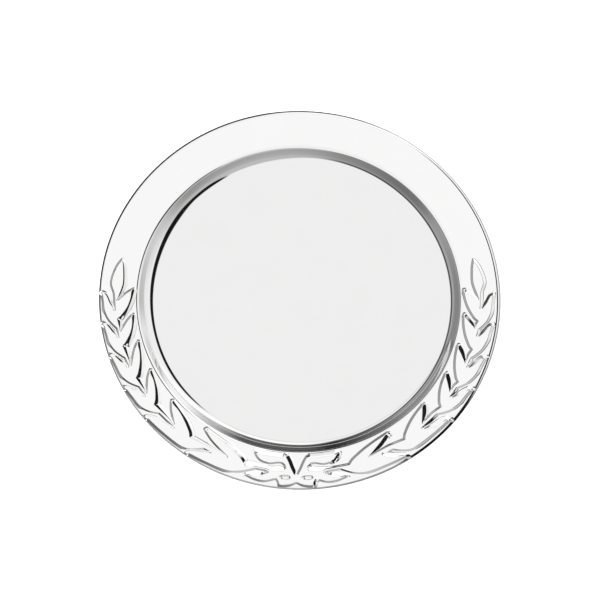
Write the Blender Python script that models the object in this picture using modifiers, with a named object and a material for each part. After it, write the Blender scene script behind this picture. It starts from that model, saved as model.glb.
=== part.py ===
"""Round silver offering plate with a laurel spray applied to its rim.

One pressed dish (floor, wall and broad rim), a border wire around its edge, two cast laurel branches
and a cast ribbon bow. Metres, +Z up, origin at the centre of the base, bow towards -Y.
"""

import math

import bmesh
import bpy

# Driving dimensions of the pressed dish
PLATE_RADIUS = 0.150
SHEET_THICKNESS = 0.0012
WELL_DEPTH = 0.0072
CREST_RADIUS_FROM_AXIS = 0.1222
WALL_SLOPE = math.radians(43)
CREST_BEND_RADIUS = 0.0045
FOOT_BEND_RADIUS = 0.0133
RIM_SLOPE = math.radians(6)
ARC_SEGMENTS = 5
TURN_STEPS = 96

# Border wire: flush with the rim on its inner side, then a soft crown, a slope and a round nose
EDGE_WIRE_WIDTH = 0.0039
EDGE_CROWN_RADIUS = 0.0055
EDGE_FALL_SLOPE = math.radians(20.5)
EDGE_NOSE_RADIUS = 0.0005
SOLDER_GAP = 0.0003

# Laurel spray: thickness of the castings, edges of the stem and radii of the leaves, all from the axis
CASTING_THICKNESS = 0.0008
STEM_OUTER_RADIUS = 0.1382
STEM_INNER_RADIUS = 0.1360
OUTER_LEAF_RADIUS = 0.1466
OUTER_TIP_RADIUS = 0.1484
INNER_TIP_RADIUS = 0.1250
BRANCH_START_ANGLE = 8.75
SCORE_SPACING = 5.0
SCORE_SHIFT = 0.35

# The spray sits a little left of the plate's centre, and its branches droop inwards at their ends
SPRAY_SHIFT = 0.0013
BRANCH_DROOP = 0.0015
QUARTER_TURN = 90.0

# Outer leaves from the bow up: where the near edge leaves the stem, where it reaches full width,
# the tip, and where the far edge comes back to the stem. Degrees from the bow.
OUTER_LEAVES_LEFT = (
    (12.5, 20.5, 31.6, 26.7),
    (29.0, 35.0, 47.0, 40.2),
    (46.4, 52.0, 57.7, 53.5),
    (56.8, 62.5, 68.2, 64.0),
    (67.0, 73.0, 78.0, 74.0),
    (76.8, 83.0, 87.6, 82.8),
)
OUTER_LEAVES_RIGHT = (
    (13.3, 20.5, 31.9, 27.3),
    (30.3, 36.0, 48.4, 42.0),
    (48.0, 54.5, 59.7, 55.3),
    (58.5, 65.0, 70.3, 66.3),
    (69.2, 76.0, 80.7, 77.0),
    (79.0, 85.0, 90.2, 86.3),
)
# Inner leaves from the bow up: near edge at the stem, tip, far edge at the stem
INNER_LEAVES_LEFT = (
    (16.0, 32.0, 21.6),
    (34.3, 47.0, 41.0),
    (49.3, 60.0, 54.0),
    (59.5, 71.0, 64.2),
    (70.7, 80.8, 75.8),
    (79.7, 90.0, 86.1),
)
INNER_LEAVES_RIGHT = (
    (16.2, 32.0, 22.3),
    (35.0, 47.5, 42.2),
    (50.5, 61.0, 55.8),
    (60.3, 72.0, 66.5),
    (72.0, 83.3, 78.7),
    (81.7, 92.3, 89.0),
)
TOP_LEAF_TIP_LEFT = 100.0
TOP_LEAF_TIP_RIGHT = 103.0
TOP_LEAF_HALF_WIDTH = 0.0046

SILVER = (0.93, 0.93, 0.92)


def clear_scene():
    for thing in list(bpy.data.objects):
        bpy.data.objects.remove(thing)


def new_collection(name):
    collection = bpy.data.collections.new(name)
    bpy.context.scene.collection.children.link(collection)
    return collection


def silver_material(name, roughness):
    material = bpy.data.materials.new(name)
    material.use_nodes = True
    shader = material.node_tree.nodes["Principled BSDF"]
    shader.inputs["Base Color"].default_value = (*SILVER, 1.0)
    shader.inputs["Metallic"].default_value = 1.0
    shader.inputs["Roughness"].default_value = roughness
    return material


def well_floor_height():
    return SHEET_THICKNESS


def crest_height():
    return well_floor_height() + WELL_DEPTH


def rim_height(radius):
    """Height of the rim's top face, which rises steadily from the crest of the wall."""
    return crest_height() + (radius - CREST_RADIUS_FROM_AXIS) * math.tan(RIM_SLOPE)


def arc_stations(start_slope, end_slope, bend_radius, start):
    """Points and slopes along a bend that starts at (radius, height) and ends at end_slope."""
    radius, height = start
    turn = abs(end_slope - start_slope)
    sign = 1.0 if end_slope > start_slope else -1.0
    stations = []
    for index in range(1, ARC_SEGMENTS + 1):
        slope = start_slope + sign * turn * index / ARC_SEGMENTS
        across = sign * bend_radius * (math.sin(slope) - math.sin(start_slope))
        up = sign * bend_radius * (math.cos(start_slope) - math.cos(slope))
        stations.append((radius + across, height + up, slope))
    return stations


def dish_top_stations():
    """The top face from the axis outwards as (radius, height, slope)."""
    drop_in_foot = FOOT_BEND_RADIUS * (1.0 - math.cos(WALL_SLOPE))
    drop_in_crest = CREST_BEND_RADIUS * (math.cos(RIM_SLOPE) - math.cos(WALL_SLOPE))
    straight = (WELL_DEPTH - drop_in_foot - drop_in_crest) / math.sin(WALL_SLOPE)
    run = FOOT_BEND_RADIUS * math.sin(WALL_SLOPE) + straight * math.cos(WALL_SLOPE)
    run += CREST_BEND_RADIUS * (math.sin(WALL_SLOPE) - math.sin(RIM_SLOPE))
    foot_radius = CREST_RADIUS_FROM_AXIS - run
    floor_z = well_floor_height()
    stations = [(0.0, floor_z, 0.0), (foot_radius, floor_z, 0.0)]
    stations += arc_stations(0.0, WALL_SLOPE, FOOT_BEND_RADIUS, (foot_radius, floor_z))
    radius, height, slope = stations[-1]
    radius += straight * math.cos(slope)
    height += straight * math.sin(slope)
    stations.append((radius, height, slope))
    stations += arc_stations(WALL_SLOPE, RIM_SLOPE, CREST_BEND_RADIUS, (radius, height))
    sheet_edge = PLATE_RADIUS - EDGE_WIRE_WIDTH - SOLDER_GAP
    stations.append((sheet_edge, rim_height(sheet_edge), RIM_SLOPE))
    return stations


def underside(stations):
    """The same stations moved down through the sheet, at right angles to its face."""
    points = []
    for radius, height, slope in stations:
        below_radius = radius + SHEET_THICKNESS * math.sin(slope)
        below_height = height - SHEET_THICKNESS * math.cos(slope)
        points.append((below_radius, below_height))
    return points


def turned_object(name, profile, closed, material, collection):
    """Turn a profile of (radius, height) points about the Z axis."""
    mesh = bpy.data.meshes.new(name)
    vertices = [(radius, 0.0, height) for radius, height in profile]
    edges = [(index, index + 1) for index in range(len(profile) - 1)]
    if closed:
        edges.append((len(profile) - 1, 0))
    mesh.from_pydata(vertices, edges, [])
    mesh.materials.append(material)
    thing = bpy.data.objects.new(name, mesh)
    collection.objects.link(thing)
    screw = thing.modifiers.new("turn", "SCREW")
    screw.axis = "Z"
    screw.steps = TURN_STEPS
    screw.render_steps = TURN_STEPS
    screw.use_merge_vertices = True
    screw.merge_threshold = 0.00001
    screw.use_normal_calculate = True
    screw.use_smooth_shade = True
    return thing


def build_dish(collection):
    stations = dish_top_stations()
    profile = [(radius, height) for radius, height, slope in stations]
    profile += reversed(underside(stations))
    turned_object("dish_body", profile, False, silver_material("polished_silver", 0.06), collection)


def arc_points(centre_radius, centre_height, arc_radius, start, end):
    """Points round part of a circle. Angles run from the outward direction upwards."""
    points = []
    for index in range(ARC_SEGMENTS + 1):
        angle = start + (end - start) * index / ARC_SEGMENTS
        across = arc_radius * math.cos(angle)
        up = arc_radius * math.sin(angle)
        points.append((centre_radius + across, centre_height + up))
    return points


def build_edge_wire(collection):
    """The border wire's section: flat inner side, soft crown, outer slope, round nose, flat underside."""
    inner = PLATE_RADIUS - EDGE_WIRE_WIDTH
    top = rim_height(inner)
    upward = math.pi / 2
    fall_start = upward - EDGE_FALL_SLOPE
    crown_radius = inner + EDGE_CROWN_RADIUS * math.sin(RIM_SLOPE)
    crown_height = top - EDGE_CROWN_RADIUS * math.cos(RIM_SLOPE)
    profile = arc_points(crown_radius, crown_height, EDGE_CROWN_RADIUS, upward + RIM_SLOPE, fall_start)
    nose_radius = PLATE_RADIUS - EDGE_NOSE_RADIUS
    slope_end = nose_radius + EDGE_NOSE_RADIUS * math.sin(EDGE_FALL_SLOPE)
    fall = (slope_end - profile[-1][0]) * math.tan(EDGE_FALL_SLOPE)
    nose_height = profile[-1][1] - fall - EDGE_NOSE_RADIUS * math.cos(EDGE_FALL_SLOPE)
    profile += arc_points(nose_radius, nose_height, EDGE_NOSE_RADIUS, fall_start, -upward)
    profile.append((inner, profile[-1][1]))
    turned_object("edge_wire", profile, True, silver_material("edge_silver", 0.08), collection)


def smooth_run(points, pieces):
    """A smooth curve through (angle, radius) points, leaving out the last point."""
    run = []
    last = len(points) - 1
    for index in range(last):
        before = points[max(index - 1, 0)]
        start = points[index]
        end = points[index + 1]
        after = points[min(index + 2, last)]
        for step in range(pieces):
            t = step / pieces
            run.append(tuple(catmull_rom(before[k], start[k], end[k], after[k], t) for k in (0, 1)))
    return run


def catmull_rom(before, start, end, after, t):
    bend = (end - before) / 2
    next_bend = (after - start) / 2
    gap = start - end
    return start + t * (bend + t * (-3 * gap - 2 * bend - next_bend + t * (2 * gap + bend + next_bend)))


def outer_leaf(foot, shoulder, tip, crook):
    """Near edge of a leaf from the stem to its tip on the plate's edge, then the far edge back."""
    rise = OUTER_LEAF_RADIUS - STEM_OUTER_RADIUS
    near_edge = [
        (foot, STEM_OUTER_RADIUS),
        (foot + 0.5 * (shoulder - foot), STEM_OUTER_RADIUS + 0.62 * rise),
        (shoulder, OUTER_LEAF_RADIUS - 0.06 * rise),
        (0.5 * (shoulder + tip), OUTER_LEAF_RADIUS),
        (tip - 0.6, OUTER_LEAF_RADIUS + 0.08 * rise),
        (tip + 0.2, OUTER_TIP_RADIUS),
    ]
    far_edge = [
        (tip + 0.7, OUTER_TIP_RADIUS - 0.0004),
        (tip + 0.1, STEM_OUTER_RADIUS + 0.72 * rise),
        (crook + 0.45 * (tip - crook), STEM_OUTER_RADIUS + 0.36 * rise),
        (crook, STEM_OUTER_RADIUS),
    ]
    return smooth_run(near_edge, 2) + smooth_run(far_edge, 2) + far_edge[-1:]


def inner_leaf(foot, tip, crook):
    """Far edge of a leaf from the stem down to its tip by the well, then the near edge back."""
    drop = STEM_INNER_RADIUS - INNER_TIP_RADIUS
    far_edge = [
        (crook, STEM_INNER_RADIUS),
        (crook + 0.32 * (tip - crook), STEM_INNER_RADIUS - 0.28 * drop),
        (crook + 0.68 * (tip - crook), STEM_INNER_RADIUS - 0.58 * drop),
        (tip, INNER_TIP_RADIUS + 0.08 * drop),
    ]
    near_edge = [
        (tip - 0.4, INNER_TIP_RADIUS),
        (foot + 0.66 * (tip - foot), STEM_INNER_RADIUS - 0.90 * drop),
        (foot + 0.36 * (tip - foot), STEM_INNER_RADIUS - 0.66 * drop),
        (foot + 0.10 * (tip - foot), STEM_INNER_RADIUS - 0.28 * drop),
        (foot, STEM_INNER_RADIUS),
    ]
    return smooth_run(far_edge, 2) + smooth_run(near_edge, 2) + near_edge[-1:]


def top_leaf(outer_start, inner_start, tip):
    middle_radius = (STEM_OUTER_RADIUS + STEM_INNER_RADIUS) / 2
    widest = tip - 0.48 * (tip - outer_start)
    outer_edge = [
        (outer_start, STEM_OUTER_RADIUS),
        (outer_start + 0.30 * (tip - outer_start), STEM_OUTER_RADIUS + 0.0006),
        (widest, middle_radius + TOP_LEAF_HALF_WIDTH),
        (tip - 0.18 * (tip - outer_start), middle_radius + 0.62 * TOP_LEAF_HALF_WIDTH),
        (tip, middle_radius),
    ]
    inner_edge = [
        (tip, middle_radius),
        (tip - 0.18 * (tip - outer_start), middle_radius - 0.62 * TOP_LEAF_HALF_WIDTH),
        (widest, middle_radius - TOP_LEAF_HALF_WIDTH),
        (inner_start + 1.2, STEM_INNER_RADIUS - 0.0010),
        (inner_start, STEM_INNER_RADIUS),
    ]
    return smooth_run(outer_edge, 3) + smooth_run(inner_edge, 3)


def branch_outline(outer_leaves, inner_leaves, top_tip):
    outline = [(BRANCH_START_ANGLE, STEM_OUTER_RADIUS)]
    for leaf in outer_leaves:
        outline += outer_leaf(*leaf)
    outline += top_leaf(outer_leaves[-1][3], inner_leaves[-1][2], top_tip)[1:]
    for leaf in reversed(inner_leaves):
        outline += inner_leaf(*leaf)
    outline.append((BRANCH_START_ANGLE, STEM_INNER_RADIUS))
    return outline


def half_bow_outline():
    """Right half of the bow, from the notch between the loops round to the fork of the tails."""
    loop = [(0.0, 0.1452), (1.6, 0.1469), (2.6, 0.1475), (3.8, 0.1480), (4.9, 0.1478)]
    side = [(5.2, 0.1455), (5.8, 0.1433)]
    ribbon_end = [
        (6.6, 0.1438), (8.2, 0.1455), (10.0, 0.1462), (12.5, 0.1458), (15.0, 0.1443),
    ]
    ribbon_underside = [(14.6, 0.1436), (12.0, 0.1419), (9.8, 0.1404), (8.5, 0.1388)]
    joint_angle = BRANCH_START_ANGLE - math.degrees(SOLDER_GAP / STEM_INNER_RADIUS)
    stem_joint = [(joint_angle, STEM_OUTER_RADIUS - 0.0003), (joint_angle, STEM_INNER_RADIUS + 0.0003)]
    neck = [(6.4, 0.1352), (3.5, 0.1343), (3.7, 0.1325), (4.6, 0.1308)]
    tail_top = [(6.0, 0.1308), (8.4, 0.1322), (10.5, 0.1318), (12.4, 0.1300), (13.9, 0.1256)]
    tail_underside = [(13.0, 0.1250), (9.0, 0.1244), (4.4, 0.1246)]
    fork = [(3.1, 0.1256), (2.2, 0.1290), (1.2, 0.1345), (0.25, 0.1388)]
    outline = smooth_run(loop, 2) + loop[-1:] + side
    outline += smooth_run(ribbon_end, 2) + ribbon_end[-1:] + ribbon_underside + stem_joint
    outline += smooth_run(neck, 2) + smooth_run(tail_top, 2) + tail_top[-1:]
    outline += tail_underside + fork
    return outline


def bow_outline():
    right = half_bow_outline()
    left = [(-angle, radius) for angle, radius in reversed(right[1:])]
    return right + left


def loop_eye(middle_angle):
    """The small opening inside one loop of the bow."""
    eye = []
    for step in range(12):
        turn = 2 * math.pi * step / 12
        eye.append((middle_angle + 1.45 * math.cos(turn), 0.1414 + 0.0012 * math.sin(turn)))
    return eye


def place(angle, radius):
    """Turn an angle from the bow and a radius of the spray into X and Y on the plate."""
    turn = math.radians(angle)
    from_axis = radius - SPRAY_SHIFT * math.sin(turn) - BRANCH_DROOP * (angle / QUARTER_TURN) ** 4
    return from_axis * math.sin(turn), -from_axis * math.cos(turn)


def score_radially(shape, outline):
    """Cut the flat shape along evenly spaced radial lines, so that it can bend to the rim's cone."""
    angles = [angle for angle, radius in outline]
    first = math.ceil(min(angles) / SCORE_SPACING)
    last = math.floor(max(angles) / SCORE_SPACING)
    for index in range(first, last + 1):
        angle = math.radians(index * SCORE_SPACING + SCORE_SHIFT)
        across = (math.cos(angle), math.sin(angle), 0.0)
        everything = shape.verts[:] + shape.edges[:] + shape.faces[:]
        bmesh.ops.bisect_plane(shape, geom=everything, dist=0.00001, plane_co=(0, 0, 0), plane_no=across)


def casting(name, loops, collection):
    """A flat casting with the outline's shape, bent to lie just above the sloping rim."""
    curve = bpy.data.curves.new(name, "CURVE")
    curve.dimensions = "2D"
    curve.fill_mode = "BOTH"
    curve.extrude = CASTING_THICKNESS / 2
    for loop in loops:
        spline = curve.splines.new("POLY")
        spline.points.add(len(loop) - 1)
        for point, (angle, radius) in zip(spline.points, loop):
            point.co = (*place(angle, radius), 0.0, 1.0)
        spline.use_cyclic_u = True
    flat = bpy.data.objects.new(name + "_outline", curve)
    collection.objects.link(flat)
    graph = bpy.context.evaluated_depsgraph_get()
    mesh = bpy.data.meshes.new_from_object(flat.evaluated_get(graph))
    mesh.name = name
    bpy.data.objects.remove(flat)
    shape = bmesh.new()
    shape.from_mesh(mesh)
    bmesh.ops.remove_doubles(shape, verts=shape.verts, dist=0.00001)
    bmesh.ops.recalc_face_normals(shape, faces=shape.faces)
    score_radially(shape, loops[0])
    for vertex in shape.verts:
        rest = rim_height(math.hypot(vertex.co.x, vertex.co.y)) + SOLDER_GAP
        vertex.co.z += rest + CASTING_THICKNESS / 2
    shape.to_mesh(mesh)
    shape.free()
    mesh.materials.clear()
    mesh.materials.append(silver_material(name + "_silver", 0.08))
    thing = bpy.data.objects.new(name, mesh)
    collection.objects.link(thing)


def mirrored(outline):
    return [(-angle, radius) for angle, radius in reversed(outline)]


def build_laurel(collection):
    right = branch_outline(OUTER_LEAVES_RIGHT, INNER_LEAVES_RIGHT, TOP_LEAF_TIP_RIGHT)
    left = branch_outline(OUTER_LEAVES_LEFT, INNER_LEAVES_LEFT, TOP_LEAF_TIP_LEFT)
    casting("laurel_branch_right", [right], collection)
    casting("laurel_branch_left", [mirrored(left)], collection)
    casting("ribbon_bow", [bow_outline(), loop_eye(3.3), loop_eye(-3.3)], collection)


def main():
    clear_scene()
    collection = new_collection("offering_plate")
    build_dish(collection)
    build_edge_wire(collection)
    build_laurel(collection)


main()
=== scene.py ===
"""Polished silver offering plate with a laurel spray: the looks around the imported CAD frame."""

import math

import bpy
import numpy as np
from mathutils import Matrix, Vector


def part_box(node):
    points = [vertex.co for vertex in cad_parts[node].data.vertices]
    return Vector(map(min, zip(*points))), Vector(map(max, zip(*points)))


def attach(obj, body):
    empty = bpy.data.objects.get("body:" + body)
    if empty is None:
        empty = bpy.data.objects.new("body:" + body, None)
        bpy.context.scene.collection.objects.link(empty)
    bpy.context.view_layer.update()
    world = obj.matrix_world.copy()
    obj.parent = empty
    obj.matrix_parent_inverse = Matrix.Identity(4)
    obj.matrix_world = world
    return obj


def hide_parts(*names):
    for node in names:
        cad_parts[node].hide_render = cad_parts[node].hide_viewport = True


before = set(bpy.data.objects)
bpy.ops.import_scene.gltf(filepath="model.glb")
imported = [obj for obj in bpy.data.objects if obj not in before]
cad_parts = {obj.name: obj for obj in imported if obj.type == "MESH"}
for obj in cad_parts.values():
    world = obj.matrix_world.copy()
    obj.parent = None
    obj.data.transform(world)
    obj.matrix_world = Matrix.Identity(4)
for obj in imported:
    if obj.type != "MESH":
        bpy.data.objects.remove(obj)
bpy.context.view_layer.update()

# The pressed dish, in metres: the same driving sizes as the CAD model
PLATE_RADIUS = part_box("edge_wire")[1][0]
SHEET_THICKNESS = 0.0012
WELL_DEPTH = 0.0072
CREST_FROM_AXIS = 0.1222
WALL_SLOPE = math.radians(43)
CREST_BEND = 0.0045
FOOT_BEND = 0.0133
RIM_SLOPE = math.radians(6)
EDGE_WIRE_WIDTH = 0.0039
EDGE_CROWN = 0.0055
EDGE_FALL = math.radians(20.5)
EDGE_NOSE = 0.0005

# The pressing's small errors: the rim and the wall sit a little to the left, the well sits towards
# the bow, and its floor further still. Each comes in over a span of radii.
CENTRE_SHIFT = -0.00043
WELL_SHIFT = -0.00125
FOOT_SHIFT = -0.0012
RIM_SPAN = (0.1480, 0.1430)
WELL_SPAN = (0.1340, 0.1240)
FOOT_SPAN = (0.1080, 0.1205)

# The laurel spray: radii of its stem and leaves, and how far it sits off centre and droops
STEM_OUTER = 0.1382
STEM_INNER = 0.1360
LEAF_OUTER = 0.1466
TIP_OUTER = 0.1478
TIP_INNER = 0.1250
SPRAY_SHIFT = 0.0013
SPRAY_DROOP = 0.0015

# Where the castings' surfaces begin and end, in degrees from the bow's middle. The branches'
# outlines run on below BRANCH_START and the bow's above it, so that they meet without a step.
BRANCH_START = 8.65
BRANCH_LAP = 1.5
BOW_LAP = 1.0
BOW_END = 15.6
RIGHT_BRANCH_END = 106.0
LEFT_BRANCH_END = 103.0

# The castings' raised surface. The fillet is a share of an edge's steep part. Outside its edges the
# surface dips under the plate at the slope OUTSIDE_FALL, as far out as RELIEF_OVERLAP.
RELIEF_HEIGHT = 0.0013
RELIEF_FILLET = 0.30
RELIEF_SINK = 0.00001
RELIEF_OVERLAP = 0.0004
OUTSIDE_FALL = 0.2

# The grid of that surface: its spacing, its first radius, the radius at which its cells are square,
# and the margin that it keeps from the plate's edge
GRID_STEP = 0.00028
GRID_INNER = 0.1215
GRID_MIDDLE = 0.137
GRID_MARGIN = 0.0004

# The studio's black flag, as the X and Y of the directions towards it
FLAG_PATH = (
    (0.304, 0.528),
    (0.312, 0.51),
    (0.33, 0.40),
    (0.445, 0.22),
    (0.55, -0.02),
    (0.555, -0.12),
    (0.47, -0.24),
)

# Edges of the castings: width of the steep part and of the gentle shelf above it. The shelf takes
# the one of these slopes at which it mirrors the flag best, for an eye this high over the rim and
# this far to the bow's side of the plate's centre.
NO_SHELF = 0.00001
SHELF_LEAST = 0.0004
SHELF_SLOPES = np.radians(np.arange(7.0, 23.0, 0.5))
EYE_HEIGHT = 1.178
EYE_ACROSS = 0.419
# How much wider the outer leaves' far edge and its crook are at the bow than a quarter turn from it
UNDER_WIDENING = 0.0045
CROOK_WIDENING = 0.0009
LEFT_BRANCH = {
    "stem": (0.0024, 0.0),
    "stem_under": (0.0062, 0.0),
    "outer_near": (0.0029, 0.0),
    "outer_rim": (0.0024, 0.0),
    "outer_far": (0.0022, 0.0008),
    "inner_crook": (0.0024, 0.0),
    "inner_far": (0.0029, 0.0),
    "inner_tip": (0.0020, 0.0020),
    "inner_near": (0.0026, 0.0010),
    "inner_foot": (0.0024, 0.0021),
    "top_outer": (0.0029, 0.0),
    "top_inner": (0.0024, 0.0008),
}
RIGHT_BRANCH = {
    "stem": (0.0028, 0.0),
    "stem_under": (0.0026, 0.0),
    "outer_near": (0.0030, 0.0),
    "outer_rim": (0.0024, 0.0),
    "outer_far": (0.0042, 0.0),
    "inner_crook": (0.0016, 0.0010),
    "inner_far": (0.0016, 0.0030),
    "inner_tip": (0.0026, 0.0),
    "inner_near": (0.0026, 0.0),
    "inner_foot": (0.0026, 0.0),
    "top_outer": (0.0030, 0.0),
    "top_inner": (0.0026, 0.0),
}
LEFT_BOW = {
    "edge": (0.0021, 0.0),
    "under": (0.0062, 0.0),
    "side": (0.0021, 0.0),
    "neck": (0.0021, 0.0),
    "tail_end": (0.0024, 0.0),
    "fork": (0.0018, 0.0027),
}
RIGHT_BOW = {
    "edge": (0.0021, 0.0),
    "under": (0.0062, 0.0),
    "side": (0.0016, 0.0018),
    "neck": (0.0016, 0.0010),
    "tail_end": (0.0016, 0.0020),
    "fork": (0.0024, 0.0),
}

# Leaves from the bow up, in degrees from its middle: where a leaf's near edge leaves the stem (foot),
# an outer leaf's shoulder, the tip, and where the far edge comes back to the stem (crook).
OUTER_LEFT = (
    (12.5, 20.5, 31.6, 26.7),
    (29.0, 35.0, 47.0, 40.2),
    (46.4, 52.0, 57.7, 53.5),
    (56.8, 62.5, 68.2, 64.0),
    (67.0, 73.0, 78.0, 74.0),
    (76.8, 83.0, 87.6, 82.8),
)
OUTER_RIGHT = (
    (13.3, 20.5, 31.9, 27.3),
    (30.3, 36.0, 48.4, 42.0),
    (48.0, 54.5, 59.7, 55.3),
    (58.5, 65.0, 70.3, 66.3),
    (69.2, 76.0, 80.7, 77.0),
    (79.0, 85.0, 90.2, 86.3),
)
INNER_LEFT = (
    (16.0, 32.0, 21.6),
    (34.3, 47.0, 41.0),
    (49.3, 60.0, 54.0),
    (59.5, 71.0, 64.2),
    (70.7, 80.8, 75.8),
    (79.7, 90.0, 86.1),
)
INNER_RIGHT = (
    (16.2, 32.0, 22.3),
    (35.0, 47.5, 42.2),
    (50.5, 61.0, 55.8),
    (60.3, 72.0, 66.5),
    (72.0, 83.3, 78.7),
    (81.7, 92.3, 89.0),
)
TOP_TIP_LEFT = 100.0
TOP_TIP_RIGHT = 103.0
TOP_LEAF_HALF_WIDTH = 0.0046

# The holes in the bow's loops: ovals with a bevelled edge
HOLE_ANGLE = 3.3
HOLE_HALF_ANGLE = 1.45
HOLE_RADIUS = 0.1414
HOLE_HALF_WIDTH = 0.0012
HOLE_BEVEL = 0.0014
HOLE_SEGMENTS = 36

# How finely shapes are divided, and the angle from which a turned piece's corner stays sharp
TURN_SEGMENTS = 512
BEND_SEGMENTS = 28
FLOOR_SEGMENTS = 24
STRAIGHT_SEGMENTS = 10
CURVE_SEGMENTS = 6
SHARP_CORNER = math.radians(50)

# Lengths that no real size reaches
ON_AXIS = 1e-7
TINY = 1e-9
FAR_AWAY = 1e9


# ---------------------------------------------------------------- general helpers

def ease(start, end, value):
    """Smoothly from 0 at start to 1 at end."""
    t = np.clip((value - start) / (end - start), 0.0, 1.0)
    return t * t * (3.0 - 2.0 * t)


def arc(centre, radius, start, end, count):
    """Points round a circle from start to end, angles from the outward direction upwards."""
    points = []
    for index in range(count + 1):
        angle = start + (end - start) * index / count
        points.append((centre[0] + radius * math.cos(angle), centre[1] + radius * math.sin(angle)))
    return points


def new_piece(name, vertices, faces):
    mesh = bpy.data.meshes.new(name)
    mesh.from_pydata(vertices, [], faces)
    mesh.validate()
    mesh.shade_smooth()
    piece = bpy.data.objects.new(name, mesh)
    bpy.context.scene.collection.objects.link(piece)
    return piece


# ---------------------------------------------------------------- turned pieces

def crest_height():
    return SHEET_THICKNESS + WELL_DEPTH


def rim_height(radius):
    return crest_height() + (radius - CREST_FROM_AXIS) * math.tan(RIM_SLOPE)


def bend(start_slope, end_slope, bend_radius, start):
    """Stations (radius, height, slope) along a bend of the sheet's top face."""
    sign = 1.0 if end_slope > start_slope else -1.0
    stations = []
    for index in range(1, BEND_SEGMENTS + 1):
        slope = start_slope + (end_slope - start_slope) * index / BEND_SEGMENTS
        across = sign * bend_radius * (math.sin(slope) - math.sin(start_slope))
        up = sign * bend_radius * (math.cos(start_slope) - math.cos(slope))
        stations.append((start[0] + across, start[1] + up, slope))
    return stations


def straight(start, end, slope, count):
    """Evenly spaced stations from just after start up to end."""
    stations = []
    for index in range(1, count + 1):
        t = index / count
        radius = start[0] + t * (end[0] - start[0])
        height = start[1] + t * (end[1] - start[1])
        stations.append((radius, height, slope))
    return stations


def dish_stations():
    """The sheet's top face from the axis out to the border: floor, foot, wall, crest and rim."""
    drop_in_foot = FOOT_BEND * (1.0 - math.cos(WALL_SLOPE))
    drop_in_crest = CREST_BEND * (math.cos(RIM_SLOPE) - math.cos(WALL_SLOPE))
    wall = (WELL_DEPTH - drop_in_foot - drop_in_crest) / math.sin(WALL_SLOPE)
    run = FOOT_BEND * math.sin(WALL_SLOPE) + wall * math.cos(WALL_SLOPE)
    run += CREST_BEND * (math.sin(WALL_SLOPE) - math.sin(RIM_SLOPE))
    foot = CREST_FROM_AXIS - run
    floor = SHEET_THICKNESS
    stations = [(0.0, floor, 0.0)] + straight((0.0, floor), (foot, floor), 0.0, FLOOR_SEGMENTS)
    stations += bend(0.0, WALL_SLOPE, FOOT_BEND, (foot, floor))
    low = stations[-1]
    high = (low[0] + wall * math.cos(WALL_SLOPE), low[1] + wall * math.sin(WALL_SLOPE))
    stations += straight(low, high, WALL_SLOPE, STRAIGHT_SEGMENTS)
    stations += bend(WALL_SLOPE, RIM_SLOPE, CREST_BEND, high)
    edge = PLATE_RADIUS - EDGE_WIRE_WIDTH
    stations += straight(stations[-1], (edge, rim_height(edge)), RIM_SLOPE, STRAIGHT_SEGMENTS)
    return stations


def border_crown():
    """Points (radius, height) over the border wire's soft crown."""
    inner = PLATE_RADIUS - EDGE_WIRE_WIDTH
    centre = (
        inner + EDGE_CROWN * math.sin(RIM_SLOPE),
        rim_height(inner) - EDGE_CROWN * math.cos(RIM_SLOPE),
    )
    return arc(centre, EDGE_CROWN, math.pi / 2 + RIM_SLOPE, math.pi / 2 - EDGE_FALL, BEND_SEGMENTS)


def surface_height(radius):
    """Height of the plate's top face for an array of radii."""
    profile = [(station[0], station[1]) for station in dish_stations()] + border_crown()[1:]
    last_radius, last_height = profile[-1]
    profile.append((PLATE_RADIUS, last_height - (PLATE_RADIUS - last_radius) * math.tan(EDGE_FALL)))
    return np.interp(radius, [point[0] for point in profile], [point[1] for point in profile])


def faces_between(above, below):
    """Faces between two rings of vertices, either of which can be a single vertex on the axis."""
    faces = []
    for step in range(TURN_SEGMENTS):
        after = (step + 1) % TURN_SEGMENTS
        if len(above) == 1:
            faces.append((above[0], below[step], below[after]))
        elif len(below) == 1:
            faces.append((above[step], below[0], above[after]))
        else:
            faces.append((above[step], below[step], below[after], above[after]))
    return faces


def turned_piece(name, profile, closed):
    """Turn (radius, height) points about Z. A point on the axis becomes one vertex."""
    vertices = []
    rings = []
    for radius, height in profile:
        count = 1 if radius < ON_AXIS else TURN_SEGMENTS
        rings.append(range(len(vertices), len(vertices) + count))
        for step in range(count):
            turn = 2 * math.pi * step / TURN_SEGMENTS
            vertices.append((radius * math.cos(turn), radius * math.sin(turn), height))
    pairs = list(zip(rings, rings[1:]))
    if closed:
        pairs.append((rings[-1], rings[0]))
    faces = []
    for above, below in pairs:
        faces += faces_between(above, below)
    return new_piece(name, vertices, faces)


def pressed(x, y):
    """Where the pressing's small errors move a point of the plate."""
    radius = np.hypot(x, y)
    above_foot = ease(*FOOT_SPAN, radius)
    across = CENTRE_SHIFT * ease(*RIM_SPAN, radius) * above_foot
    along = WELL_SHIFT * ease(*WELL_SPAN, radius) + FOOT_SHIFT * (1.0 - above_foot)
    return x + across, y + along


def press(piece):
    """Give a turned piece the pressing's small errors and its sharp corners."""
    for vertex in piece.data.vertices:
        vertex.co.x, vertex.co.y = pressed(vertex.co.x, vertex.co.y)
    piece.data.set_sharp_from_angle(angle=SHARP_CORNER)


def build_dish():
    """The sheet's top face and, one thickness away from it, its underside."""
    stations = dish_stations()
    top = [(radius, height) for radius, height, slope in stations]
    under = []
    for radius, height, slope in reversed(stations):
        out = SHEET_THICKNESS * math.sin(slope)
        down = SHEET_THICKNESS * math.cos(slope)
        under.append((radius + out, height - down))
    under[0] = (top[-1][0], under[0][1])
    piece = turned_piece("polished_dish", top + under, closed=False)
    press(piece)
    return piece


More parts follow.
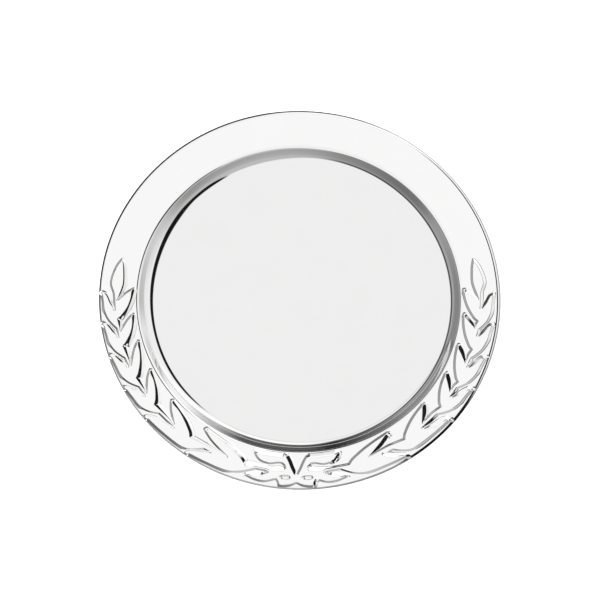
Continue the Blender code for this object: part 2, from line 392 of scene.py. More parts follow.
def build_edge_wire():
    """Level with the rim on its inner side, over a soft crown, down a slope to a round nose."""
    inner = PLATE_RADIUS - EDGE_WIRE_WIDTH
    straight_up = math.pi / 2
    crown = border_crown()
    nose_across = PLATE_RADIUS - EDGE_NOSE
    fall = (nose_across + EDGE_NOSE * math.sin(EDGE_FALL) - crown[-1][0]) * math.tan(EDGE_FALL)
    nose_centre = (nose_across, crown[-1][1] - fall - EDGE_NOSE * math.cos(EDGE_FALL))
    nose = arc(nose_centre, EDGE_NOSE, straight_up - EDGE_FALL, -straight_up, BEND_SEGMENTS)
    profile = crown + nose + [(inner, nose[-1][1])]
    piece = turned_piece("bright_edge_wire", profile, closed=True)
    press(piece)
    return piece


# ---------------------------------------------------------------- laurel outlines
# Every outline point is (angle from the bow's middle in degrees, radius, steep width, shelf width).
# Fractions place a leaf's points between its foot or crook and its tip, and between the stem and
# the leaf's reach across the rim.

def catmull_rom(before, start, end, after, t):
    gap = start - end
    lean = (end - before) / 2
    next_lean = (after - start) / 2
    return start + t * (lean + t * (-3 * gap - 2 * lean - next_lean + t * (2 * gap + lean + next_lean)))


def smooth_run(points):
    """A smooth curve through the points, leaving out the last point."""
    run = []
    last = len(points) - 1
    for index in range(last):
        before = points[max(index - 1, 0)]
        after = points[min(index + 2, last)]
        start, end = points[index], points[index + 1]
        for step in range(CURVE_SEGMENTS):
            t = step / CURVE_SEGMENTS
            values = zip(before, start, end, after)
            run.append(tuple(catmull_rom(*four, t) for four in values))
    return run


def edged(points, bevel):
    """Outline points from (angle, radius) points that share one bevel."""
    return [(angle, radius, *bevel) for angle, radius in points]


def outer_leaf(foot, shoulder, tip, crook, bevels):
    """A leaf from the stem's outer side to the border, from its foot round its tip to its crook."""
    rise = LEAF_OUTER - STEM_OUTER
    far = bevels["outer_far"]
    near_bow = math.cos(math.radians(tip))
    soft_far = (far[0] + UNDER_WIDENING * near_bow, far[1])
    near_edge = edged([
        (foot, STEM_OUTER),
        (foot + 0.5 * (shoulder - foot), STEM_OUTER + 0.62 * rise),
        (shoulder, LEAF_OUTER - 0.06 * rise),
    ], bevels["outer_near"]) + edged([
        (0.5 * (shoulder + tip), LEAF_OUTER),
        (tip - 0.6, LEAF_OUTER + 0.08 * rise),
        (tip + 0.2, TIP_OUTER),
    ], bevels["outer_rim"])
    far_edge = edged([
        (tip + 0.7, TIP_OUTER - 0.0004),
        (tip + 0.1, STEM_OUTER + 0.72 * rise),
        (crook + 0.45 * (tip - crook), STEM_OUTER + 0.36 * rise),
    ], soft_far) + [(crook, STEM_OUTER, far[0] + CROOK_WIDENING * near_bow, 0.0)]
    return smooth_run(near_edge) + smooth_run(far_edge) + far_edge[-1:]


def inner_leaf(foot, tip, crook, bevels):
    """A leaf from the stem's inner side to the well, from its crook round its tip to its foot."""
    drop = STEM_INNER - TIP_INNER
    far = bevels["inner_far"]
    near = bevels["inner_near"]
    thick = bevels["inner_foot"]
    near_bow = math.cos(math.radians(tip))
    taper = [near[kind] + near_bow * (thick[kind] - near[kind]) for kind in range(2)]
    far_edge = [
        (crook, STEM_INNER, *bevels["inner_crook"]),
        (crook + 0.32 * (tip - crook), STEM_INNER - 0.28 * drop, far[0], 0.7 * far[1]),
        (crook + 0.68 * (tip - crook), STEM_INNER - 0.58 * drop, *far),
        (tip, TIP_INNER + 0.08 * drop, *far),
    ]
    near_edge = [
        (tip - 0.4, TIP_INNER, *bevels["inner_tip"]),
        (foot + 0.66 * (tip - foot), STEM_INNER - 0.90 * drop, *near),
        (foot + 0.36 * (tip - foot), STEM_INNER - 0.66 * drop, *taper),
        (foot + 0.10 * (tip - foot), STEM_INNER - 0.28 * drop, *thick),
        (foot, STEM_INNER, *thick),
    ]
    return smooth_run(far_edge) + smooth_run(near_edge) + near_edge[-1:]


def top_leaf(outer_start, inner_start, tip, bevels):
    """The leaf that ends the branch, from the stem's outer side round its tip to the inner side."""
    middle = (STEM_OUTER + STEM_INNER) / 2
    reach = tip - outer_start
    outer_edge = edged([
        (outer_start, STEM_OUTER),
        (outer_start + 0.30 * reach, STEM_OUTER + 0.0006),
        (tip - 0.48 * reach, middle + TOP_LEAF_HALF_WIDTH),
        (tip - 0.18 * reach, middle + 0.62 * TOP_LEAF_HALF_WIDTH),
        (tip, middle),
    ], bevels["top_outer"])
    inner_edge = edged([(tip, middle)], bevels["top_outer"]) + edged([
        (tip - 0.18 * reach, middle - 0.62 * TOP_LEAF_HALF_WIDTH),
        (tip - 0.48 * reach, middle - TOP_LEAF_HALF_WIDTH),
        (inner_start + 1.2, STEM_INNER - 0.0010),
        (inner_start, STEM_INNER),
    ], bevels["top_inner"])
    return smooth_run(outer_edge)[1:] + smooth_run(inner_edge)


def branch_outline(outer_leaves, inner_leaves, top_tip, bevels):
    """The branch's outline on the bow's right: up its outer side and back along its inner side."""
    start = BRANCH_START - BRANCH_LAP
    outline = [(start, STEM_OUTER, *bevels["stem"])]
    for leaf in outer_leaves:
        outline += outer_leaf(*leaf, bevels)
    outline += top_leaf(outer_leaves[-1][3], inner_leaves[-1][2], top_tip, bevels)
    for leaf in reversed(inner_leaves):
        outline += inner_leaf(*leaf, bevels)
    stem_under = [(inner_leaves[0][0] - 0.4, STEM_INNER), (start, STEM_INNER)]
    outline += edged(stem_under, bevels["stem_under"])
    return outline


def half_bow_outline(bevels):
    """The bow's right half: loop, ribbon end, joint with the branch, tail and fork."""
    joint = BRANCH_START + BOW_LAP
    loop = [(0.0, 0.1452), (1.6, 0.1469), (2.6, 0.1475), (3.8, 0.1480), (4.9, 0.1478)]
    side = [(4.9, 0.1478), (5.2, 0.1455), (5.8, 0.1433)]
    ribbon_end = [(6.6, 0.1438), (8.2, 0.1455), (10.0, 0.1462), (12.5, 0.1458), (15.0, 0.1443)]
    ribbon_under = [(15.0, 0.1443), (14.6, 0.1436), (12.0, 0.1419), (10.6, 0.1410)]
    ribbon_fold = [(9.6, 0.1402), (8.5, 0.1388), (joint, STEM_OUTER)]
    neck_under = [(joint, STEM_INNER), (6.4, 0.1352), (3.8, 0.1345)]
    neck = [(3.5, 0.1343), (3.7, 0.1325), (4.6, 0.1308)]
    tail_top = [(4.6, 0.1308), (6.0, 0.1308), (8.4, 0.1322), (10.5, 0.1318)]
    tail_end = [(11.6, 0.1311), (12.4, 0.1300), (13.3, 0.1280), (13.9, 0.1256)]
    tail_under = [(13.9, 0.1256), (13.0, 0.1250), (9.0, 0.1244), (4.4, 0.1246)]
    fork = [(3.1, 0.1256), (2.2, 0.1290), (1.2, 0.1345), (0.25, 0.1388)]
    outline = smooth_run(edged(loop, bevels["edge"])) + edged(side, bevels["side"])
    outline += smooth_run(edged(ribbon_end, bevels["edge"]))
    outline += edged(ribbon_under, bevels["under"]) + edged(ribbon_fold, bevels["edge"])
    outline += edged(neck_under, bevels["under"]) + edged(neck, bevels["neck"])
    outline += smooth_run(edged(tail_top, bevels["edge"]) + edged(tail_end, bevels["tail_end"]))
    outline += edged(tail_under, bevels["under"]) + edged(fork, bevels["fork"])
    return outline


def mirrored(outline):
    return [(-angle, *rest) for angle, *rest in reversed(outline)]


def bow_outline():
    return half_bow_outline(RIGHT_BOW) + mirrored(half_bow_outline(LEFT_BOW)[1:])


def loop_hole(middle):
    hole = []
    for step in range(HOLE_SEGMENTS):
        turn = 2 * math.pi * step / HOLE_SEGMENTS
        angle = middle + HOLE_HALF_ANGLE * math.cos(turn)
        hole.append((angle, HOLE_RADIUS + HOLE_HALF_WIDTH * math.sin(turn), HOLE_BEVEL, 0.0))
    return hole


def flag_gap(plan_x, plan_y):
    """How far directions, given by their X and Y, are from the flag's path."""
    nearest = np.full(np.shape(plan_x), FAR_AWAY)
    for start, end in zip(FLAG_PATH, FLAG_PATH[1:]):
        along = (end[0] - start[0], end[1] - start[1])
        share = (plan_x - start[0]) * along[0] + (plan_y - start[1]) * along[1]
        share = np.clip(share / (along[0] ** 2 + along[1] ** 2), 0.0, 1.0)
        gap = np.hypot(plan_x - start[0] - share * along[0], plan_y - start[1] - share * along[1])
        nearest = np.minimum(nearest, gap)
    return nearest


def shelf_slope(x, y, facing):
    """The slope at which a shelf that faces this way on the rim mirrors the flag best."""
    radius = math.hypot(x, y)
    lean_x = 2.0 * (SHELF_SLOPES * facing[0] - RIM_SLOPE * x / radius) + x / EYE_HEIGHT
    lean_y = 2.0 * (SHELF_SLOPES * facing[1] - RIM_SLOPE * y / radius) + (EYE_ACROSS + y) / EYE_HEIGHT
    lean = np.hypot(lean_x, lean_y)
    gap = flag_gap(lean_x * np.sin(lean) / lean, lean_y * np.sin(lean) / lean)
    return SHELF_SLOPES[int(np.argmin(gap))]


def flattened(outline):
    """Outline points in X and Y. The spray sits a little left of centre, and its tips droop inwards."""
    flat = []
    for angle, radius, steep, shelf in outline:
        turn = math.radians(angle)
        shifted = radius - SPRAY_SHIFT * math.sin(turn) - SPRAY_DROOP * (angle / 90.0) ** 4
        flat.append((shifted * math.sin(turn), -shifted * math.cos(turn), steep, shelf))
    return np.array(flat)


def flat_points(outline):
    """Outline points in X and Y, with their steep width, shelf width and shelf rise."""
    flat = flattened(outline)
    x, y = flat[:, 0], flat[:, 1]
    winding = np.sign(np.sum(x * np.roll(y, -1) - np.roll(x, -1) * y))
    points = []
    for index, (here_x, here_y, steep, shelf) in enumerate(flat):
        along = flat[(index + 1) % len(flat)][:2] - flat[index - 1][:2]
        length = max(math.hypot(*along), TINY)
        facing = (winding * along[1] / length, -winding * along[0] / length)
        slope = shelf_slope(here_x, here_y, facing) if shelf > 0.0 else 0.0
        points.append((here_x, here_y, steep, shelf, shelf * math.tan(slope)))
    return np.array(points)


# ---------------------------------------------------------------- relief surface

def edge_distance(x, y, loops):
    """Signed distance to the outline (positive inside) and the bevel at its nearest point."""
    best = np.full(x.shape, FAR_AWAY)
    bevel = np.zeros((3, *x.shape))
    inside = np.zeros(x.shape, bool)
    for loop in loops:
        for start, end in zip(loop, np.roll(loop, -1, axis=0)):
            along = end[:2] - start[:2]
            length2 = max(float(along @ along), TINY ** 2)
            t = np.clip(((x - start[0]) * along[0] + (y - start[1]) * along[1]) / length2, 0.0, 1.0)
            gap2 = (x - start[0] - t * along[0]) ** 2 + (y - start[1] - t * along[1]) ** 2
            nearer = gap2 < best
            best = np.where(nearer, gap2, best)
            for kind in range(3):
                here = start[2 + kind] + t[nearer] * (end[2 + kind] - start[2 + kind])
                bevel[kind][nearer] = here
            crosses = (start[1] > y) != (end[1] > y)
            rise = end[1] - start[1]
            if rise != 0.0:
                crossing = start[0] + (y - start[1]) / rise * along[0]
                inside ^= crosses & (x < crossing)
    distance = np.sqrt(best)
    return np.where(inside, distance, -distance), bevel


def chamfer(t):
    """From 0 to 1 at an even slope, with a fillet at its foot and at its top."""
    t = np.clip(t, 0.0, 1.0)
    steep = 1.0 / (1.0 - RELIEF_FILLET)
    foot = steep * t ** 2 / (2.0 * RELIEF_FILLET)
    middle = steep * (t - RELIEF_FILLET / 2.0)
    top = 1.0 - steep * (1.0 - t) ** 2 / (2.0 * RELIEF_FILLET)
    return np.where(t < RELIEF_FILLET, foot, np.where(t > 1.0 - RELIEF_FILLET, top, middle))


def relief_profile(distance, bevel):
    """Height over the plate, and the distance from the foot of the edge (positive inside). The steep
    part is centred on the outline, or lies outside a shelf that is centred on it."""
    steep = np.maximum(bevel[0], SHELF_LEAST)
    shelf = np.maximum(bevel[1], NO_SHELF)
    rise = np.maximum(bevel[2], 0.0)
    offset = 0.5 * shelf + 0.5 * steep * np.minimum(shelf / SHELF_LEAST, 1.0)
    height = (RELIEF_HEIGHT - rise) * chamfer((distance + offset) / steep + 0.5)
    height += rise * np.clip(distance / shelf + 0.5, 0.0, 1.0)
    from_foot = distance + offset + 0.5 * steep
    return height - RELIEF_SINK + OUTSIDE_FALL * np.minimum(from_foot, 0.0), from_foot


def softened(height):
    """Average every grid point with its neighbours, which rounds the sharpest corners."""
    for axis in (0, 1):
        middle = np.take(height, range(1, height.shape[axis] - 1), axis)
        before = np.take(height, range(0, height.shape[axis] - 2), axis)
        after = np.take(height, range(2, height.shape[axis]), axis)
        inner = (before + 2.0 * middle + after) / 4.0
        first = np.take(height, [0], axis)
        last = np.take(height, [-1], axis)
        height = np.concatenate([first, inner, last], axis)
    return height


def ring_grid(first_angle, last_angle):
    """A grid over the rim between two angles in degrees: each point's angle and radius."""
    radii = np.arange(GRID_INNER, PLATE_RADIUS - GRID_MARGIN, GRID_STEP)
    step = math.degrees(GRID_STEP / GRID_MIDDLE)
    count = int(round((last_angle - first_angle) / step))
    angles = np.radians(np.linspace(first_angle, last_angle, count + 1))
    return np.meshgrid(angles, radii, indexing="ij")


def grid_piece(name, x, y, z, shown):
    """A surface over those of the grid's cells whose four corners are all shown."""
    cell = shown[:-1, :-1] & shown[1:, :-1] & shown[:-1, 1:] & shown[1:, 1:]
    used = np.zeros(x.shape, bool)
    used[:-1, :-1] |= cell
    used[1:, :-1] |= cell
    used[:-1, 1:] |= cell
    used[1:, 1:] |= cell
    index = np.full(x.shape, -1)
    index[used] = np.arange(int(used.sum()))
    vertices = np.stack([x[used], y[used], z[used]], axis=1)
    rows, columns = np.nonzero(cell)
    faces = np.stack([
        index[rows, columns],
        index[rows, columns + 1],
        index[rows + 1, columns + 1],
        index[rows + 1, columns],
    ], axis=1)
    piece = new_piece(name, vertices.tolist(), faces.tolist())
    if piece.data.polygons[0].normal.z < 0:
        piece.data.flip_normals()
    return piece


def relief_piece(name, outlines, first_angle, last_angle):
    """The raised surface inside the outlines, cut off at two angles in degrees."""
    loops = [flat_points(outline) for outline in outlines]
    turn, radius = ring_grid(first_angle, last_angle)
    x, y = pressed(radius * np.sin(turn), -radius * np.cos(turn))
    height, from_foot = relief_profile(*edge_distance(x, y, loops))
    z = surface_height(radius) + softened(height)
    return grid_piece(name, x, y, z, from_foot > -RELIEF_OVERLAP)


# ---------------------------------------------------------------- shader helpers
# Spans and outputs are pairs of numbers, and what a helper returns is a node's output socket.

def node(tree, kind, **settings):
    made = tree.nodes.new(kind)
    for key, value in settings.items():
        setattr(made, key, value)
    return made


def feed(tree, socket, value):
    """Set a socket to a number or a tuple, or link another socket to it."""
    if isinstance(value, (int, float, tuple)):
        socket.default_value = value
    else:
        tree.links.new(value, socket)


def math_node(tree, operation, first, second=None):
    made = node(tree, "ShaderNodeMath", operation=operation)
    feed(tree, made.inputs[0], first)
    if second is not None:
        feed(tree, made.inputs[1], second)
    return made.outputs[0]


def vector_node(tree, operation, first, second=None, out="Vector"):
    made = node(tree, "ShaderNodeVectorMath", operation=operation)
    feed(tree, made.inputs[0], first)
    if second is not None:
        feed(tree, made.inputs[1], second)
    return made.outputs[out]


def times(tree, first, second):
    return math_node(tree, "MULTIPLY", first, second)


def dimmed(tree, light, shade):
    """The light less a share of it, where a shade of 1 leaves nothing."""
    return times(tree, light, math_node(tree, "SUBTRACT", 1.0, shade))


def apart_from(tree, value, place):
    """How far a value is from a place, to either side."""
    return math_node(tree, "ABSOLUTE", math_node(tree, "SUBTRACT", value, place))


def map_range(tree, value, span, outputs, smooth=True):
    """Outputs over a span of the value, level beyond both its ends."""
    made = node(tree, "ShaderNodeMapRange")
    made.interpolation_type = "SMOOTHSTEP" if smooth else "LINEAR"
    tree.links.new(value, made.inputs["Value"])
    for key, number in zip(("From Min", "From Max", "To Min", "To Max"), (*span, *outputs)):
        made.inputs[key].default_value = number
    return made.outputs["Result"]


def mix(tree, share, first, second):
    made = node(tree, "ShaderNodeMix", data_type="FLOAT")
    feed(tree, made.inputs[0], share)
    feed(tree, made.inputs[2], first)
    feed(tree, made.inputs[3], second)
    return made.outputs[0]


def ramp(tree, value, stops):
    """Grey tones at places from 0 to 1, straight between them."""
    made = node(tree, "ShaderNodeValToRGB")
    elements = made.color_ramp.elements
    while len(elements) < len(stops):
        elements.new(0.5)
    for element, (place, tone) in zip(elements, stops):
        element.position = place
        element.color = (tone, tone, tone, 1.0)
    tree.links.new(value, made.inputs["Fac"])
    return made.outputs["Color"]


def noise(tree, position, scale, detail):
    made = node(tree, "ShaderNodeTexNoise")
    made.inputs["Scale"].default_value = scale
    made.inputs["Detail"].default_value = detail
    tree.links.new(position, made.inputs["Vector"])
    return made.outputs["Fac"]


# ---------------------------------------------------------------- silver

SILVER_TONE = 0.955
SILVER_BLUE = 0.997
PLATE_ROUGHNESS = 0.03
SPRAY_ROUGHNESS = 0.035
# Painted shade: the well's floor is painted a little darker than the rest, and the border's outermost
# edge is painted less than half as bright, as a dark line round the plate
FLOOR_PAINTED_SHADE = 0.922
FLOOR_SHADE_END = (0.1200, 0.1225)
EDGE_PAINTED_SHADE = 0.45
EDGE_SHADE_START = (0.1485, 0.1491)
# Cloudy polishing haze, which roughens and dulls the silver by these factors over spans of its noise
HAZE_SCALE = 35.0
HAZE_DETAIL = 4.0
ROUGHENING_SPAN = (0.35, 0.70)
HAZE_ROUGHENS = 1.9
DULLING_SPAN = (0.30, 0.75)
HAZE_DULLS = 0.985
# Hairlines: noise squeezed in one direction
HAIRLINE_SCALE = 60.0
HAIRLINE_DETAIL = 3.0
HAIRLINE_SPAN = (0.62, 0.78)
HAIRLINE_SQUEEZE = (1.0, 30.0, 1.0)
HAIRLINE_TURN = (0.0, 0.0, math.radians(25))
HAIRLINE_ROUGHNESS = 0.02
# Slow ripples from the pressing
RIPPLE_SCALE = 14.0
RIPPLE_DETAIL = 1.0
RIPPLE_HEIGHT = 0.0004
RIPPLE_STRENGTH = 0.10


def hairlines(tree, where):
    """The roughness that the hairlines add."""
    squeezed = node(tree, "ShaderNodeMapping")
    squeezed.inputs["Scale"].default_value = HAIRLINE_SQUEEZE
    squeezed.inputs["Rotation"].default_value = HAIRLINE_TURN
    tree.links.new(where, squeezed.inputs["Vector"])
    lines = noise(tree, squeezed.outputs["Vector"], HAIRLINE_SCALE, HAIRLINE_DETAIL)
    return map_range(tree, lines, HAIRLINE_SPAN, (0.0, HAIRLINE_ROUGHNESS))


def distance_from_axis(tree, where):
    apart = node(tree, "ShaderNodeSeparateXYZ")
    tree.links.new(where, apart.inputs[0])
    across = math_node(tree, "POWER", apart.outputs["X"], 2.0)
    along = math_node(tree, "POWER", apart.outputs["Y"], 2.0)
    return math_node(tree, "SQRT", math_node(tree, "ADD", across, along))


def silver_colour(tree, tone):
    """Almost neutral: a trace less blue than red and green."""
    colour = node(tree, "ShaderNodeCombineColor")
    tree.links.new(tone, colour.inputs["Red"])
    tree.links.new(tone, colour.inputs["Green"])
    tree.links.new(times(tree, tone, SILVER_BLUE), colour.inputs["Blue"])
    return colour.outputs["Color"]


def ripples(tree, where):
    bump = node(tree, "ShaderNodeBump")
    bump.inputs["Strength"].default_value = RIPPLE_STRENGTH
    bump.inputs["Distance"].default_value = RIPPLE_HEIGHT
    tree.links.new(noise(tree, where, RIPPLE_SCALE, RIPPLE_DETAIL), bump.inputs["Height"])
    return bump.outputs["Normal"]


def silver(name, roughness, floor_shade=1.0, edge_shade=1.0):
    """Polished silver. The well's floor and the border's outer edge can take painted shade, a darker
    tone than the rest.
    """
    material = bpy.data.materials.new(name)
    material.use_nodes = True
    tree = material.node_tree
    shader = tree.nodes["Principled BSDF"]
    shader.inputs["Metallic"].default_value = 1.0
    where = node(tree, "ShaderNodeTexCoord").outputs["Object"]
    haze = noise(tree, where, HAZE_SCALE, HAZE_DETAIL)
    rough = map_range(tree, haze, ROUGHENING_SPAN, (roughness, roughness * HAZE_ROUGHENS))
    rough = math_node(tree, "ADD", rough, hairlines(tree, where))
    tree.links.new(rough, shader.inputs["Roughness"])
    radius = distance_from_axis(tree, where)
    tone = map_range(tree, haze, DULLING_SPAN, (SILVER_TONE, SILVER_TONE * HAZE_DULLS))
    # Painted shade: a darker tone over the well's floor
    tone = times(tree, tone, map_range(tree, radius, FLOOR_SHADE_END, (floor_shade, 1.0)))
    # Painted shade: a dark band at the border's outermost edge
    tone = times(tree, tone, map_range(tree, radius, EDGE_SHADE_START, (1.0, edge_shade)))
    tree.links.new(silver_colour(tree, tone), shader.inputs["Base Color"])
    tree.links.new(ripples(tree, where), shader.inputs["Normal"])
    return material


# ---------------------------------------------------------------- studio
# What the mirror sees in each direction. A place is the direction's X and Y, and a height its Z.

# The even white that everything but the mirror sees
TENT_TONE = 2.2
# The round bright roof, with one side cut off towards the bow and the right
ROOF_MIDDLE = (0.0, 0.12, 0.0)
ROOF_EDGE = (0.68, 0.72)
ROOF_TONE = 0.98
ROOF_CUT_TOWARDS = (0.5, -0.85, 0.0)
ROOF_CUT = (0.42, 0.52)
# The room's tone by the part of a turn from -X by way of -Y
ROOM_ROUND = (
    (0.000, 0.40), (0.055, 0.36), (0.110, 0.30), (0.155, 0.34), (0.195, 0.38), (0.222, 0.46),
    (0.250, 0.52), (0.305, 0.56), (0.375, 0.56), (0.430, 0.56), (0.455, 0.56), (0.478, 0.66),
    (0.500, 0.78), (0.528, 0.84), (0.556, 0.93), (0.640, 1.00), (0.667, 1.05), (0.757, 1.10),
    (0.772, 0.25), (0.790, 0.30), (0.810, 0.50), (0.889, 0.44), (0.958, 0.41), (1.000, 0.40),
)
# How the room darkens downwards: on the bow's side, and elsewhere
BOW_SIDE = (-0.45, -0.15)
BOW_SIDE_BY_HEIGHT = ((0.15, 0.42), (0.30, 0.45), (0.44, 0.58), (0.60, 0.90), (0.72, 1.0))
ROOM_LOW = (0.15, 0.40)
ROOM_LOW_TONES = (0.62, 1.0)
# White cards low down behind the plate and to its right, by height
CARDS_TOWARDS = (0.53, 0.85, 0.0)
CARDS_START = (0.80, 0.93)
CARDS_BY_HEIGHT = ((0.0, 1.10), (0.045, 1.25), (0.08, 1.52), (0.16, 1.50), (0.40, 1.0))
# The dark seam round the roof's left side, by the distance from the roof's middle
SEAM_FROM_ROOF = 0.775
SEAM_WIDTH = (0.01, 0.08)
SEAM_ALONG = (-0.15, 0.25)
SEAM_SHADES = (0.90, 0.88)
SEAM_END = (-0.30, -0.10)
# The flag's edge, by the distance from its path
FLAG_EDGE = (0.09, 0.14)
FLAG_TONE = 0.008
# The lighter band at the back on the right, and the batten in front of it on the left
BACK_START = (0.62, 0.76)
BACK_LIFT = 0.13
BACK_LEFT_END = (-0.12, 0.0)
BATTEN_PLACE = 0.59
BATTEN_WIDTH = (0.0, 0.035)
BATTEN_SHADE = 0.35
BATTEN_RIGHT_END = (0.10, 0.25)
# The dark gap low in the middle of the back, by height, and the dim wall beside it
GAP_START = (0.85, 0.92)
GAP_MIDDLE = 0.05
GAP_HALF_WIDTH = (0.15, 0.35)
GAP_BY_HEIGHT = ((0.0, 0.16), (0.06, 0.05), (0.12, 0.20), (0.20, 0.05), (0.30, 0.14), (0.50, 0.08))
BESIDE_GAP = 0.55

STUDIO_REACH = 30.0
STUDIO_DROP = 0.0002
STUDIO_FLOOR_COLOUR = (0.95, 0.95, 0.95, 1.0)
STUDIO_FLOOR_ROUGHNESS = 0.9


def flag_distance(tree, plan):
    """How far a direction is from the flag's path, as flag_gap works it out."""
    nearest = None
    for start, end in zip(FLAG_PATH, FLAG_PATH[1:]):
        along = (end[0] - start[0], end[1] - start[1], 0.0)
        length2 = along[0] ** 2 + along[1] ** 2
        offset = vector_node(tree, "SUBTRACT", plan, (start[0], start[1], 0.0))
        weights = tuple(part / length2 for part in along)
        share = vector_node(tree, "DOT_PRODUCT", offset, weights, "Value")
        share = map_range(tree, share, (0.0, 1.0), (0.0, 1.0), smooth=False)
        scaled = node(tree, "ShaderNodeVectorMath", operation="SCALE")
        scaled.inputs[0].default_value = along
        tree.links.new(share, scaled.inputs["Scale"])
        gap = vector_node(tree, "SUBTRACT", offset, scaled.outputs[0])
        length = vector_node(tree, "LENGTH", gap, out="Value")
        nearest = length if nearest is None else math_node(tree, "MINIMUM", nearest, length)
    return nearest


def room_light(tree, x, y, z, plan):
    """The dim room around the roof, with the white cards low behind the plate and to its right."""
    turn = math_node(tree, "ARCTAN2", y, x)
    turn = map_range(tree, turn, (-math.pi, math.pi), (0.0, 1.0), smooth=False)
    room = ramp(tree, turn, ROOM_ROUND)
    bow_side = ramp(tree, z, BOW_SIDE_BY_HEIGHT)
    elsewhere = map_range(tree, z, ROOM_LOW, ROOM_LOW_TONES)
    side = map_range(tree, y, BOW_SIDE, (0.0, 1.0))
    room = times(tree, room, mix(tree, side, bow_side, elsewhere))
    behind = vector_node(tree, "DOT_PRODUCT", plan, CARDS_TOWARDS, "Value")
    behind = map_range(tree, behind, CARDS_START, (0.0, 1.0))
    return times(tree, room, mix(tree, behind, 1.0, ramp(tree, z, CARDS_BY_HEIGHT)))


def roof_and_seam(tree, x, y, plan, room):
    """The roof over the room, and the seam round it."""
    from_middle = vector_node(tree, "DISTANCE", plan, ROOF_MIDDLE, "Value")
    roof = map_range(tree, from_middle, ROOF_EDGE, (1.0, 0.0))
    lean = vector_node(tree, "DOT_PRODUCT", plan, ROOF_CUT_TOWARDS, "Value")
    roof = times(tree, roof, map_range(tree, lean, ROOF_CUT, (1.0, 0.0)))
    seam = map_range(tree, apart_from(tree, from_middle, SEAM_FROM_ROOF), SEAM_WIDTH, (1.0, 0.0))
    seam = times(tree, seam, map_range(tree, y, SEAM_ALONG, SEAM_SHADES))
    seam = times(tree, seam, map_range(tree, x, SEAM_END, (1.0, 0.0)))
    return dimmed(tree, mix(tree, roof, room, ROOF_TONE), seam)


def back_wall(tree, x, y, z, seen):
    """What is seen, with the back's lighter band, its batten and the dark gap below it."""
    back = map_range(tree, y, BACK_START, (0.0, BACK_LIFT))
    back = times(tree, back, map_range(tree, x, BACK_LEFT_END, (0.0, 1.0)))
    seen = times(tree, seen, math_node(tree, "ADD", 1.0, back))
    batten = map_range(tree, apart_from(tree, y, BATTEN_PLACE), BATTEN_WIDTH, (BATTEN_SHADE, 0.0))
    batten = times(tree, batten, map_range(tree, x, BATTEN_RIGHT_END, (1.0, 0.0)))
    seen = dimmed(tree, seen, batten)
    beside = map_range(tree, apart_from(tree, x, GAP_MIDDLE), GAP_HALF_WIDTH, (0.0, 1.0))
    gap = mix(tree, beside, ramp(tree, z, GAP_BY_HEIGHT), BESIDE_GAP)
    return times(tree, seen, mix(tree, map_range(tree, y, GAP_START, (0.0, 1.0)), 1.0, gap))


def build_world():
    """A studio that only mirrored rays see. The camera and the floor see an even white."""
    world = bpy.data.worlds.new("studio")
    bpy.context.scene.world = world
    world.use_nodes = True
    tree = world.node_tree
    apart = node(tree, "ShaderNodeSeparateXYZ")
    tree.links.new(node(tree, "ShaderNodeTexCoord").outputs["Generated"], apart.inputs[0])
    x, y, z = (apart.outputs[axis] for axis in "XYZ")
    together = node(tree, "ShaderNodeCombineXYZ")
    tree.links.new(x, together.inputs["X"])
    tree.links.new(y, together.inputs["Y"])
    plan = together.outputs[0]
    seen = roof_and_seam(tree, x, y, plan, room_light(tree, x, y, z, plan))
    flag = map_range(tree, flag_distance(tree, plan), FLAG_EDGE, (FLAG_TONE, 1.0))
    seen = back_wall(tree, x, y, z, times(tree, seen, flag))
    mirrored_ray = node(tree, "ShaderNodeLightPath").outputs["Is Glossy Ray"]
    tone = mix(tree, mirrored_ray, TENT_TONE, seen)
    tree.links.new(tone, tree.nodes["Background"].inputs["Color"])


def build_floor():
    """A pale floor just under the plate."""
    corners = [(-1, -1), (1, -1), (1, 1), (-1, 1)]
    vertices = [(STUDIO_REACH * across, STUDIO_REACH * along, 0) for across, along in corners]
    mesh = bpy.data.meshes.new("studio_floor")
    mesh.from_pydata(vertices, [], [(0, 1, 2, 3)])
    floor = bpy.data.objects.new("studio_floor", mesh)
    floor.location.z = -STUDIO_DROP
    bpy.context.scene.collection.objects.link(floor)
    material = bpy.data.materials.new("pale_floor")
    material.use_nodes = True
    shader = material.node_tree.nodes["Principled BSDF"]
    shader.inputs["Base Color"].default_value = STUDIO_FLOOR_COLOUR
    shader.inputs["Roughness"].default_value = STUDIO_FLOOR_ROUGHNESS
    shader.inputs["Specular IOR Level"].default_value = 0.0
    mesh.materials.append(material)


# ---------------------------------------------------------------- camera

CAMERA_ELEVATION = math.radians(70.42)
CAMERA_AZIMUTH = math.radians(-1.28)
CAMERA_ROLL = math.radians(2.55)
CAMERA_DISTANCE = 1.25
CAMERA_LENS = 100.41
CAMERA_REACH = 100.0
# The camera turns round a point just under the border's top, and aims a little nearer the bow
PIVOT_UNDER_BORDER = 0.0017
AIM_TOWARDS_BOW = 0.0056


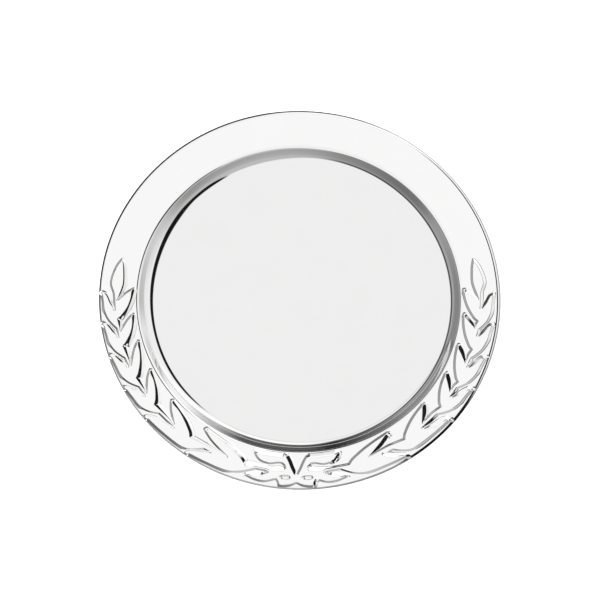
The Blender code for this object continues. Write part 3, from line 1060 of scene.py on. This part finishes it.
def build_camera():
    """High three-quarter view, a little left of the bow and rolled by a few degrees."""
    out = Vector((
        math.sin(CAMERA_AZIMUTH) * math.cos(CAMERA_ELEVATION),
        -math.cos(CAMERA_AZIMUTH) * math.cos(CAMERA_ELEVATION),
        math.sin(CAMERA_ELEVATION),
    ))
    pivot = Vector((0.0, 0.0, rim_height(PLATE_RADIUS) - PIVOT_UNDER_BORDER))
    camera = bpy.data.objects.new("camera", bpy.data.cameras.new("camera"))
    place = pivot + out * CAMERA_DISTANCE
    target = pivot + Vector((0.0, -AIM_TOWARDS_BOW, 0.0))
    facing = (place - target).to_track_quat("Z", "Y").to_matrix().to_4x4()
    camera.matrix_world = Matrix.Translation(place) @ facing @ Matrix.Rotation(CAMERA_ROLL, 4, "Z")
    camera.data.lens = CAMERA_LENS
    camera.data.clip_end = CAMERA_REACH
    bpy.context.scene.collection.objects.link(camera)
    bpy.context.scene.camera = camera


# ---------------------------------------------------------------- the whole plate

def finish_piece(piece, material, slot, *nodes):
    """Finish a piece: its material, its body and the CAD nodes it replaces. The slot is not used."""
    piece.data.materials.append(material)
    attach(piece, "root")
    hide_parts(*nodes)


def build_plate():
    """The dish and its border ring."""
    # The plate's silver takes painted shade on the well's floor
    plate_silver = silver("plate_silver", PLATE_ROUGHNESS, floor_shade=FLOOR_PAINTED_SHADE)
    # The wire's silver takes painted shade at its outermost edge
    wire_silver = silver("wire_silver", PLATE_ROUGHNESS, edge_shade=EDGE_PAINTED_SHADE)
    finish_piece(build_dish(), plate_silver, "polished_silver", "dish_body")
    finish_piece(build_edge_wire(), wire_silver, "edge_silver", "edge_wire")


def build_spray():
    """The two laurel branches and the bow between them."""
    cast_silver = silver("spray_silver", SPRAY_ROUGHNESS)
    right = branch_outline(OUTER_RIGHT, INNER_RIGHT, TOP_TIP_RIGHT, RIGHT_BRANCH)
    left = mirrored(branch_outline(OUTER_LEFT, INNER_LEFT, TOP_TIP_LEFT, LEFT_BRANCH))
    bow = [bow_outline(), loop_hole(HOLE_ANGLE), loop_hole(-HOLE_ANGLE)]
    branch_right = relief_piece("laurel_right", [right], BRANCH_START, RIGHT_BRANCH_END)
    branch_left = relief_piece("laurel_left", [left], -LEFT_BRANCH_END, -BRANCH_START)
    ribbon = relief_piece("ribbon_bow_relief", bow, -BOW_END, BOW_END)
    finish_piece(branch_right, cast_silver, "cast_silver", "laurel_branch_right")
    finish_piece(branch_left, cast_silver, "cast_silver", "laurel_branch_left")
    finish_piece(ribbon, cast_silver, "cast_silver", "ribbon_bow")


def main():
    build_plate()
    build_spray()
    build_world()
    build_floor()
    build_camera()
    bpy.context.scene.view_settings.view_transform = "Standard"


main()
